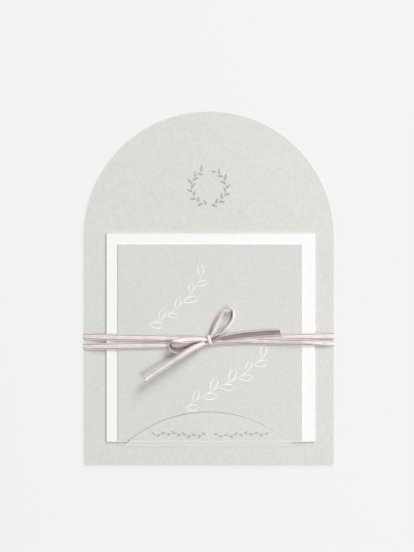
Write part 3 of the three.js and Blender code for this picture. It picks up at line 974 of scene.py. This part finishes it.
leafy_stem, source, result = new_group(
    "leafy_stem",
    "GeometryNodeTree",
    [
        ("Geometry", "NodeSocketGeometry", None),
        ("Leaf", "NodeSocketObject", None),
        ("Spacing", "NodeSocketFloat", 3 * MM),
        ("Leaf Angle", "NodeSocketFloat", 0.7),
        ("Stem Width", "NodeSocketFloat", 0.25 * MM),
        ("Seed", "NodeSocketInt", 1),
        ("Material", "NodeSocketMaterial", None),
    ],
    [("Geometry", "NodeSocketGeometry")],
)
stem_curve = add(leafy_stem, "GeometryNodeMeshToCurve", {"Mesh": source.outputs["Geometry"]})
stem_radius = math(leafy_stem, "MULTIPLY", source.outputs["Stem Width"], 0.5)
stem_section = add(leafy_stem, "GeometryNodeCurvePrimitiveCircle",
                   {"Resolution": 6, "Radius": stem_radius})
stem = add(leafy_stem, "GeometryNodeCurveToMesh", {
    "Curve": stem_curve.outputs[0], "Profile Curve": stem_section.outputs[0], "Fill Caps": True})
leaf_points = add(leafy_stem, "GeometryNodeCurveToPoints",
                  {"Curve": stem_curve.outputs[0], "Length": source.outputs["Spacing"]}, mode="LENGTH")
heading = add(leafy_stem, "ShaderNodeSeparateXYZ", {0: leaf_points.outputs["Tangent"]})
heading_angle = math(leafy_stem, "ARCTAN2", heading.outputs["Y"], heading.outputs["X"])
count = add(leafy_stem, "GeometryNodeInputIndex").outputs[0]
hand = math(leafy_stem, "MULTIPLY_ADD", math(leafy_stem, "MODULO", count, 2.0), 2.0, -1.0)
wobble = add(leafy_stem, "FunctionNodeRandomValue", {"Min": -LEAF_WOBBLE, "Max": LEAF_WOBBLE,
                                                     "Seed": source.outputs["Seed"]})
lean_out = math(leafy_stem, "MULTIPLY", hand, source.outputs["Leaf Angle"])
yaw = math(leafy_stem, "ADD", math(leafy_stem, "ADD", heading_angle, lean_out), wobble.outputs[1])
leaf_turn = add(leafy_stem, "ShaderNodeCombineXYZ", {2: yaw})
leaf_scale = add(leafy_stem, "FunctionNodeRandomValue", {
    "Min": LEAF_SMALLEST, "Max": LEAF_LARGEST, "ID": count, "Seed": source.outputs["Seed"]})
leaf_shape = add(leafy_stem, "GeometryNodeObjectInfo", {"Object": source.outputs["Leaf"]})
leaves = add(leafy_stem, "GeometryNodeInstanceOnPoints", {
    "Points": leaf_points.outputs["Points"], "Instance": leaf_shape.outputs["Geometry"],
    "Rotation": leaf_turn.outputs[0], "Scale": leaf_scale.outputs[1]})
both = add(leafy_stem, "GeometryNodeJoinGeometry")
leafy_stem.links.new(stem.outputs[0], both.inputs[0])
leafy_stem.links.new(leaves.outputs[0], both.inputs[0])
end_growth(leafy_stem, both.outputs[0], source, result, smooth_faces=False)

# %% Sprigs on the cards
# A stem's points are [x, y] in millimetres on the card.
STEM_STEPS = 14
WREATH = {"centre": (0, 48.6), "radius": 8.4, "foot": -82, "gap": 26, "spans": 6}


def half_wreath(side):
    """Points of one half of the wreath, from its foot round to the gap at its top."""
    foot, spans = WREATH["foot"], WREATH["spans"]
    turns_of_half = [radians(foot + (90 - foot - WREATH["gap"]) * k / spans) for k in range(spans + 1)]
    middle_x, middle_y = WREATH["centre"]
    return [(middle_x + side * WREATH["radius"] * cos(t), middle_y + WREATH["radius"] * sin(t))
            for t in turns_of_half]


SPRIGS = {
    "print_top_wreath": {
        "on": BACKING_TOP, "ink": mauve_ink, "outline": False, "leaf": (2.9, 0.95), "spacing": 1.9,
        "angle": 0.72, "stem": 0.22, "seed": 3,
        "stems": [half_wreath(1), half_wreath(-1)],
    },
    "print_flap_line": {
        "on": FLAP_TOP, "ink": mauve_ink, "outline": False, "leaf": (2.1, 0.72), "spacing": 2.3,
        "angle": 0.62, "stem": 0.2, "seed": 5,
        "stems": [[(-1.5, -70.2), (-9, -70.7), (-17, -69.7), (-25.8, -70.2)],
                  [(2.5, -70.2), (10, -70.7), (18, -69.7), (26.8, -70.2)]],
    },
    "print_white_sprig_left": {
        "on": GREY_TOP, "ink": white_ink, "outline": True, "leaf": (6.4, 2.6), "spacing": 4.6,
        "angle": 0.62, "stem": 0.46, "seed": 7,
        "stems": [[(-28.5, -17.5), (-21, -13.5), (-14, -8), (-8, -1.5), (-3.6, 5.6)]],
    },
    "print_white_sprig_right": {
        "on": GREY_TOP, "ink": white_ink, "outline": True, "leaf": (6.8, 2.7), "spacing": 4.8,
        "angle": 0.6, "stem": 0.48, "seed": 11,
        "stems": [[(-11.5, -57.5), (-3.5, -52), (6, -47), (16, -41.5), (25.5, -33.5)]],
    },
}


def stem_lines(stems):
    """A mesh of plain lines through the points of every stem."""
    points, edges = [], []
    for stem_points in stems:
        start = len(points)
        for x, y in smooth([list(p) for p in stem_points], STEM_STEPS):
            points.append((x * MM, y * MM, 0))
        edges += [(i, i + 1) for i in range(start, len(points) - 1)]
    return line_object("stem_lines", points, edges)


prints = []
for name, sprig in SPRIGS.items():
    draw = leaf_outline if sprig["outline"] else leaf_solid
    leaf_points_list, leaf_faces = draw(sprig["leaf"][0] * MM, sprig["leaf"][1] * MM, sprig["stem"] * MM)
    leaf = mesh_object("leaf", leaf_points_list, leaf_faces, [sprig["ink"]], smooth_faces=False)
    printed = grown(stem_lines(sprig["stems"]), leafy_stem, name, Leaf=leaf, Spacing=sprig["spacing"] * MM,
                    Leaf_Angle=sprig["angle"], Stem_Width=sprig["stem"] * MM, Seed=sprig["seed"],
                    Material=sprig["ink"])
    bpy.data.objects.remove(leaf)
    flatten = INK_HEIGHT / (sprig["stem"] * MM)
    for vertex in printed.data.vertices:
        vertex.co.z = sprig["on"] + INK_HEIGHT / 2 + vertex.co.z * flatten
    prints.append(printed)
    print(name, "has", len(printed.data.polygons), "faces")

# %% [markdown]
# ## Joining the frame
#
# Every new piece rides on the one body of the frame. The four ribbon pieces stand for the CAD ribbon,
# which is hidden.

# %% Bodies
for piece in (ribbon_cloth, ribbon_cord, ribbon_beads, ribbon_knot):
    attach(piece, "root")
    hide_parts("ribbon")
for piece in prints:
    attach(piece, "root")
